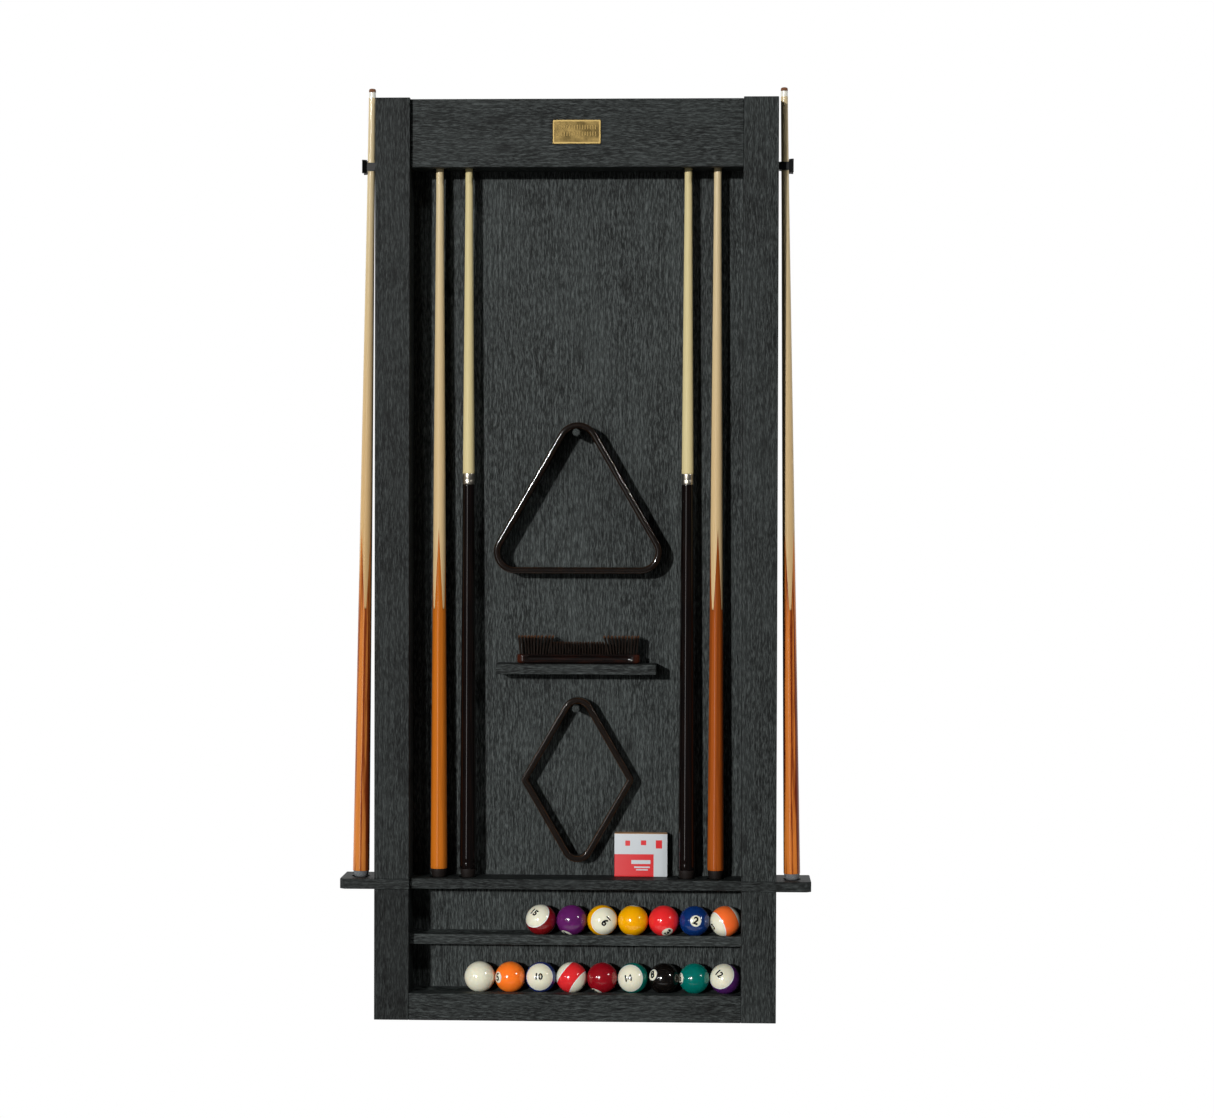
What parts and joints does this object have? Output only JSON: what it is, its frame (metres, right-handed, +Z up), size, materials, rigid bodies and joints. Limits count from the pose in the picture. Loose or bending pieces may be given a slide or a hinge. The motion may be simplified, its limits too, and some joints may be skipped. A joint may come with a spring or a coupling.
{
  "type": "wall cue rack",
  "caption": "Tall wall rack of dark boards that stands cues on a shelf, two in side clips, with ball shelves, pegs for ball racks and a brush shelf.",
  "frame": {"origin": "bottom centre of the rack's box, midway between the wall and the face of the posts", "axes": "+X to the right as seen from the room, +Y towards the wall, +Z up"},
  "size_m": [0.874, 0.102, 1.7312],
  "materials": {
    "stained_wood": "black-stained open grain, low sheen",
    "cleat_wood": "plain planed softwood",
    "dowel_wood": "plain hardwood",
    "brass": "aged brass, raised border",
    "black_plastic": "moulded, satin",
    "screw_steel": "black oxide",
    "house_cue_wood": "lacquered maple with spliced hardwood butt",
    "shaft_maple": "sealed pale maple",
    "dark_butt": "near-black glossy lacquer",
    "cue_tip": "white ferrule under a leather pad",
    "grey_rubber": "moulded",
    "black_rubber": "moulded",
    "dark_rack_wood": "dark lacquer",
    "brush_wood": "dark lacquer",
    "bristle": "stiff dark bristle",
    "carton": "printed card",
    "ball_1": "polished phenolic resin",
    "ball_2": "polished phenolic resin",
    "ball_3": "polished phenolic resin",
    "ball_4": "polished phenolic resin",
    "ball_5": "polished phenolic resin",
    "ball_6": "polished phenolic resin",
    "ball_7": "polished phenolic resin",
    "ball_8": "polished phenolic resin",
    "ball_9": "polished phenolic resin",
    "ball_10": "polished phenolic resin",
    "ball_11": "polished phenolic resin",
    "ball_12": "polished phenolic resin",
    "ball_13": "polished phenolic resin",
    "ball_14": "polished phenolic resin",
    "ball_15": "polished phenolic resin",
    "cue_ball": "polished phenolic resin"
  },
  "bodies": {
    "wall_mount": {"wall_cleat": "cleat_wood"},
    "rack": {"left_lower_post": "stained_wood", "left_upper_post": "stained_wood", "right_lower_post": "stained_wood", "right_upper_post": "stained_wood", "post_dowels": "dowel_wood", "header_board": "stained_wood", "cue_board": "stained_wood", "nameplate": "brass", "back_panel": "stained_wood", "hanging_pegs": "stained_wood", "cue_shelf": "stained_wood", "upper_ball_shelf": "stained_wood", "lower_ball_shelf": "stained_wood", "bottom_rail": "stained_wood", "brush_shelf": "stained_wood", "rack_cleat": "cleat_wood", "cue_clips": "black_plastic", "clip_screws": "screw_steel"},
    "left_outer_cue": {"left_outer_cue_stick": "house_cue_wood", "left_outer_cue_tip": "cue_tip", "left_outer_cue_bumper": "grey_rubber"},
    "right_outer_cue": {"right_outer_cue_stick": "house_cue_wood", "right_outer_cue_tip": "cue_tip", "right_outer_cue_bumper": "grey_rubber"},
    "left_house_cue": {"left_house_cue_stick": "house_cue_wood", "left_house_cue_tip": "cue_tip", "left_house_cue_bumper": "black_rubber"},
    "left_jointed_cue": {"left_jointed_cue_butt": "dark_butt", "left_jointed_cue_shaft": "shaft_maple", "left_jointed_cue_tip": "cue_tip", "left_jointed_cue_bumper": "black_rubber"},
    "right_jointed_cue": {"right_jointed_cue_butt": "dark_butt", "right_jointed_cue_shaft": "shaft_maple", "right_jointed_cue_tip": "cue_tip", "right_jointed_cue_bumper": "black_rubber"},
    "right_house_cue": {"right_house_cue_stick": "house_cue_wood", "right_house_cue_tip": "cue_tip", "right_house_cue_bumper": "black_rubber"},
    "ball_13_body": {"ball_13": "ball_13"},
    "ball_2_body": {"ball_2": "ball_2"},
    "ball_3_body": {"ball_3": "ball_3"},
    "ball_1_body": {"ball_1": "ball_1"},
    "ball_9_body": {"ball_9": "ball_9"},
    "ball_4_body": {"ball_4": "ball_4"},
    "ball_15_body": {"ball_15": "ball_15"},
    "ball_12_body": {"ball_12": "ball_12"},
    "ball_6_body": {"ball_6": "ball_6"},
    "ball_8_body": {"ball_8": "ball_8"},
    "ball_14_body": {"ball_14": "ball_14"},
    "ball_7_body": {"ball_7": "ball_7"},
    "ball_11_body": {"ball_11": "ball_11"},
    "ball_10_body": {"ball_10": "ball_10"},
    "ball_5_body": {"ball_5": "ball_5"},
    "cue_ball_body": {"cue_ball": "cue_ball"},
    "triangle": {"triangle_rack": "dark_rack_wood"},
    "diamond": {"diamond_rack": "dark_rack_wood"},
    "brush": {"brush_base": "brush_wood", "brush_bristles": "bristle"},
    "chalk": {"chalk_box": "carton"}
  },
  "joints": [
    {"name": "rack_lift", "type": "slide", "parent": "wall_mount", "child": "rack", "axis": [0, 0, 1], "range_m": [0, 0.02]},
    {"name": "left_outer_cue_swing", "type": "hinge", "parent": "rack", "child": "left_outer_cue", "pos_m": [-0.40224, -0.006, 0.2783], "axis": [0, -1, 0], "range_deg": [0, 12]},
    {"name": "right_outer_cue_swing", "type": "hinge", "parent": "rack", "child": "right_outer_cue", "pos_m": [0.40224, -0.006, 0.2783], "axis": [0, 1, 0], "range_deg": [0, 12]},
    {"name": "left_house_cue_lift", "type": "slide", "parent": "rack", "child": "left_house_cue", "axis": [0, 0, 1], "range_m": [0, 0.04]},
    {"name": "left_jointed_cue_lift", "type": "slide", "parent": "rack", "child": "left_jointed_cue", "axis": [0, 0, 1], "range_m": [0, 0.04]},
    {"name": "right_jointed_cue_lift", "type": "slide", "parent": "rack", "child": "right_jointed_cue", "axis": [0, 0, 1], "range_m": [0, 0.04]},
    {"name": "right_house_cue_lift", "type": "slide", "parent": "rack", "child": "right_house_cue", "axis": [0, 0, 1], "range_m": [0, 0.04]},
    {"name": "ball_13_out", "type": "slide", "parent": "rack", "child": "ball_13_body", "axis": [0, -0.9588, 0.284], "range_m": [0, 0.09]},
    {"name": "ball_2_out", "type": "slide", "parent": "rack", "child": "ball_2_body", "axis": [0, -0.9588, 0.284], "range_m": [0, 0.09]},
    {"name": "ball_3_out", "type": "slide", "parent": "rack", "child": "ball_3_body", "axis": [0, -0.9588, 0.284], "range_m": [0, 0.09]},
    {"name": "ball_1_out", "type": "slide", "parent": "rack", "child": "ball_1_body", "axis": [0, -0.9588, 0.284], "range_m": [0, 0.09]},
    {"name": "ball_9_out", "type": "slide", "parent": "rack", "child": "ball_9_body", "axis": [0, -0.9588, 0.284], "range_m": [0, 0.09]},
    {"name": "ball_4_out", "type": "slide", "parent": "rack", "child": "ball_4_body", "axis": [0, -0.9588, 0.284], "range_m": [0, 0.09]},
    {"name": "ball_15_out", "type": "slide", "parent": "rack", "child": "ball_15_body", "axis": [0, -0.9588, 0.284], "range_m": [0, 0.09]},
    {"name": "ball_12_out", "type": "slide", "parent": "rack", "child": "ball_12_body", "axis": [0, -0.9588, 0.284], "range_m": [0, 0.09]},
    {"name": "ball_6_out", "type": "slide", "parent": "rack", "child": "ball_6_body", "axis": [0, -0.9588, 0.284], "range_m": [0, 0.09]},
    {"name": "ball_8_out", "type": "slide", "parent": "rack", "child": "ball_8_body", "axis": [0, -0.9588, 0.284], "range_m": [0, 0.09]},
    {"name": "ball_14_out", "type": "slide", "parent": "rack", "child": "ball_14_body", "axis": [0, -0.9588, 0.284], "range_m": [0, 0.09]},
    {"name": "ball_7_out", "type": "slide", "parent": "rack", "child": "ball_7_body", "axis": [0, -0.9588, 0.284], "range_m": [0, 0.09]},
    {"name": "ball_11_out", "type": "slide", "parent": "rack", "child": "ball_11_body", "axis": [0, -0.9588, 0.284], "range_m": [0, 0.09]},
    {"name": "ball_10_out", "type": "slide", "parent": "rack", "child": "ball_10_body", "axis": [0, -0.9588, 0.284], "range_m": [0, 0.09]},
    {"name": "ball_5_out", "type": "slide", "parent": "rack", "child": "ball_5_body", "axis": [0, -0.9588, 0.284], "range_m": [0, 0.09]},
    {"name": "cue_ball_out", "type": "slide", "parent": "rack", "child": "cue_ball_body", "axis": [0, -0.9588, 0.284], "range_m": [0, 0.09]},
    {"name": "triangle_off_peg", "type": "slide", "parent": "rack", "child": "triangle", "axis": [0, -1, 0], "range_m": [0, 0.07]},
    {"name": "diamond_off_peg", "type": "slide", "parent": "rack", "child": "diamond", "axis": [0, -1, 0], "range_m": [0, 0.07]},
    {"name": "brush_off_shelf", "type": "slide", "parent": "rack", "child": "brush", "axis": [0, -1, 0], "range_m": [0, 0.08]},
    {"name": "chalk_off_shelf", "type": "slide", "parent": "rack", "child": "chalk", "axis": [0, -1, 0], "range_m": [0, 0.09]}
  ]
}
